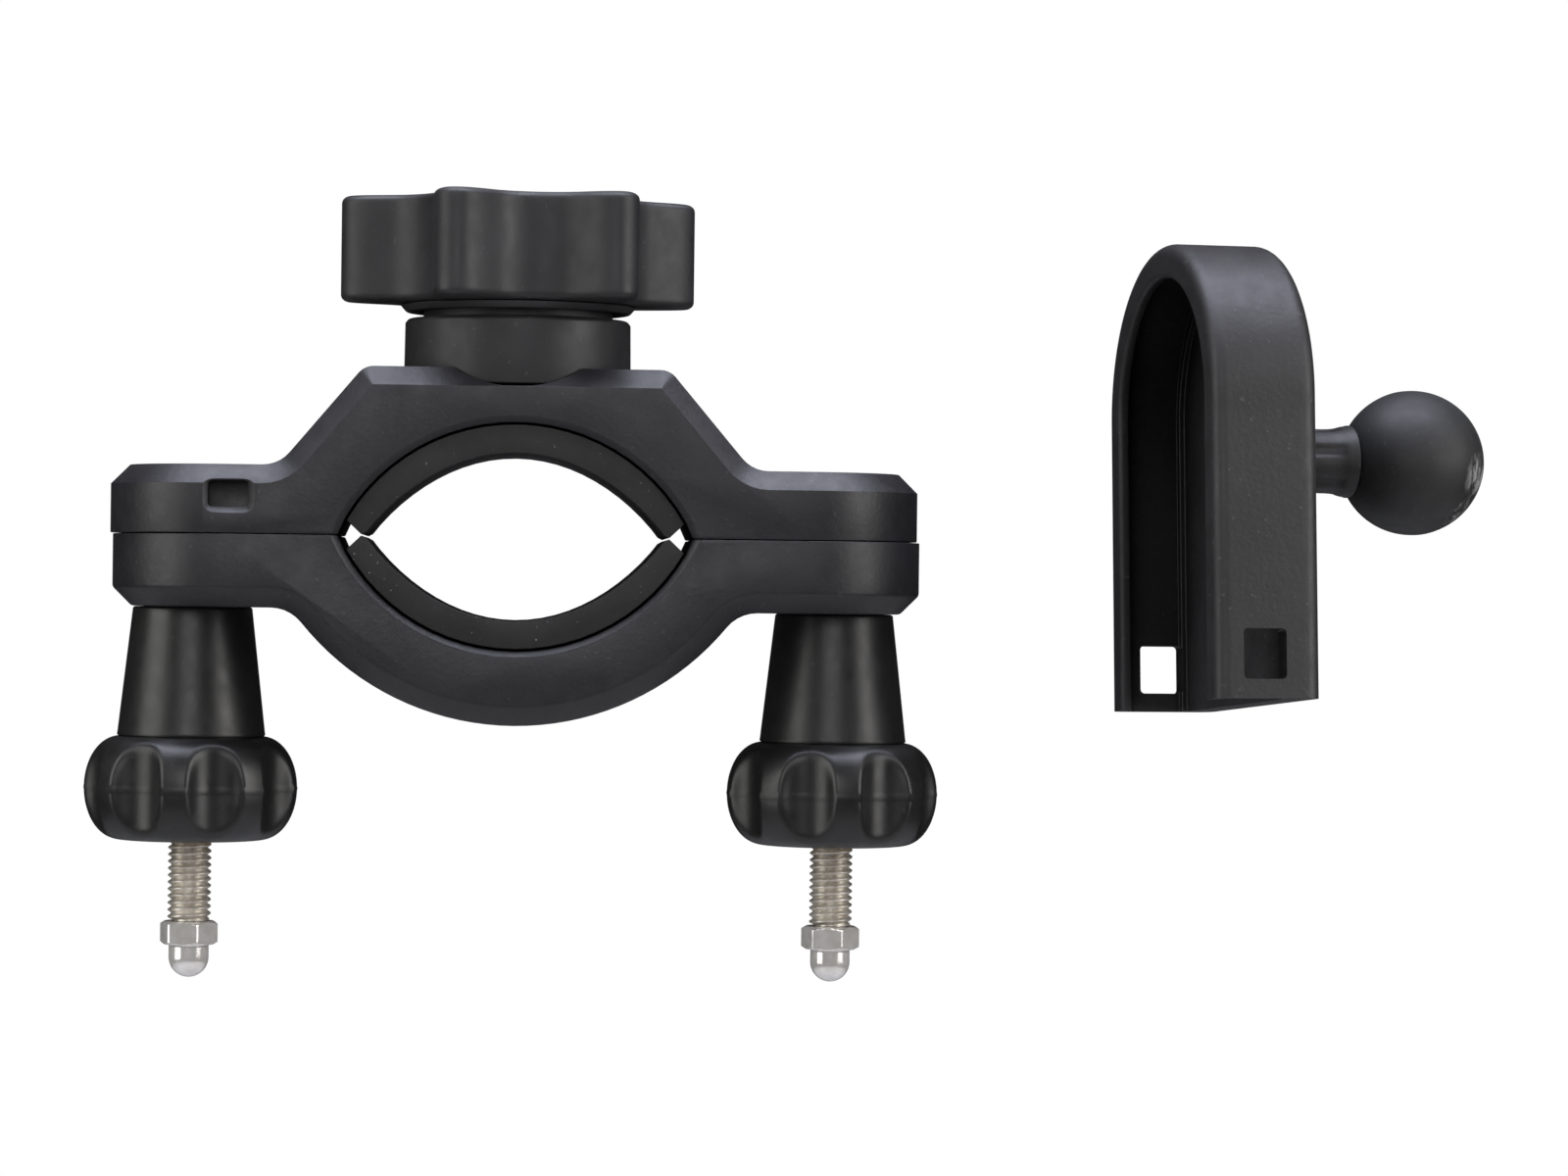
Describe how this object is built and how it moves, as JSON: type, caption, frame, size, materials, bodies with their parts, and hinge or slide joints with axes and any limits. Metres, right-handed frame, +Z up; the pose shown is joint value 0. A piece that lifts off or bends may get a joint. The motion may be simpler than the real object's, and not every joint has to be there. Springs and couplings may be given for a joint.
{
  "type": "phone mount",
  "caption": "Handlebar phone mount: a split clamp with rubber pads and knob-tightened bolts, a ball socket with a lobed ring nut, and a slotted bracket on a ball.",
  "frame": {"origin": "centre of the handlebar opening, on the split between the jaws and half-way through the clamp", "axes": "+X to the right along the ears of the clamp, +Y away from the viewer along the handlebar, +Z up towards the ball socket"},
  "size_m": [0.1633, 0.0463, 0.0909],
  "materials": {
    "jaw_plastic": "satin moulded black nylon with a bluish cast",
    "socket_plastic": "satin moulded black nylon",
    "knob_plastic": "smooth moulded black plastic",
    "bracket_plastic": "fine-grained moulded black plastic",
    "pad_rubber": "matte black rubber",
    "nickel": "nickel-plated steel",
    "polished_nickel": "polished nickel plating",
    "brass": "turned brass"
  },
  "bodies": {
    "upper_clamp": {"upper_jaw": "jaw_plastic", "upper_pad": "pad_rubber", "ball_socket": "socket_plastic", "friction_cup": "pad_rubber", "socket_screw": "nickel", "left_bolt": "nickel", "right_bolt": "nickel", "left_stop_nut": "polished_nickel", "right_stop_nut": "polished_nickel"},
    "lower_clamp": {"lower_jaw": "jaw_plastic", "lower_pad": "pad_rubber"},
    "left_clamp_knob": {"left_knob": "knob_plastic", "left_knob_insert": "brass"},
    "right_clamp_knob": {"right_knob": "knob_plastic", "right_knob_insert": "brass"},
    "thrust_washer": {"thrust_ring": "socket_plastic"},
    "ring_nut": {"socket_knob": "socket_plastic"},
    "adapter_ball": {"ball": "bracket_plastic"},
    "adapter_stem": {"ball_neck": "bracket_plastic"},
    "adapter_bracket": {"slot_bracket": "bracket_plastic", "neck_screw": "nickel"}
  },
  "joints": [
    {"name": "jaw_opening", "type": "slide", "parent": "upper_clamp", "child": "lower_clamp", "axis": [0, 0, -1], "range_m": [0, 0.0088]},
    {"name": "left_knob_turn", "type": "hinge", "parent": "lower_clamp", "child": "left_clamp_knob", "pos_m": [-0.0373, 0, -0.022], "axis": [0, 0, 1], "range_deg": [0, 3960]},
    {"name": "right_knob_turn", "type": "hinge", "parent": "lower_clamp", "child": "right_clamp_knob", "pos_m": [0.0373, 0, -0.022], "axis": [0, 0, 1], "range_deg": [0, 3960]},
    {"name": "thrust_ring_rise", "type": "slide", "parent": "upper_clamp", "child": "thrust_washer", "axis": [0, 0, 1], "range_m": [0, 0.002]},
    {"name": "socket_knob_turn", "type": "hinge", "parent": "thrust_washer", "child": "ring_nut", "pos_m": [0, 0, 0.033], "axis": [0, 0, 1], "range_deg": [0, 360]},
    {"name": "adapter_fit", "type": "hinge", "parent": "upper_clamp", "child": "adapter_ball", "pos_m": [0.06562, 0, 0.07558], "axis": [0, -1, 0], "range_deg": [0, 270]},
    {"name": "ball_tilt", "type": "hinge", "parent": "adapter_ball", "child": "adapter_stem", "pos_m": [0.1052, 0, 0.00997], "axis": [0, 1, 0], "range_deg": [-20, 20]},
    {"name": "bracket_turn", "type": "hinge", "parent": "adapter_stem", "child": "adapter_bracket", "pos_m": [0.1052, 0, 0.00997], "axis": [-0.9823, -0.1874, 0], "continuous": true}
  ],
  "couplings": [
    {"joint": "left_knob_turn", "follows": "jaw_opening", "rad_per_m": 7854},
    {"joint": "right_knob_turn", "follows": "jaw_opening", "rad_per_m": 7854},
    {"joint": "thrust_ring_rise", "follows": "socket_knob_turn", "m_per_rad": 0.0003183}
  ]
}
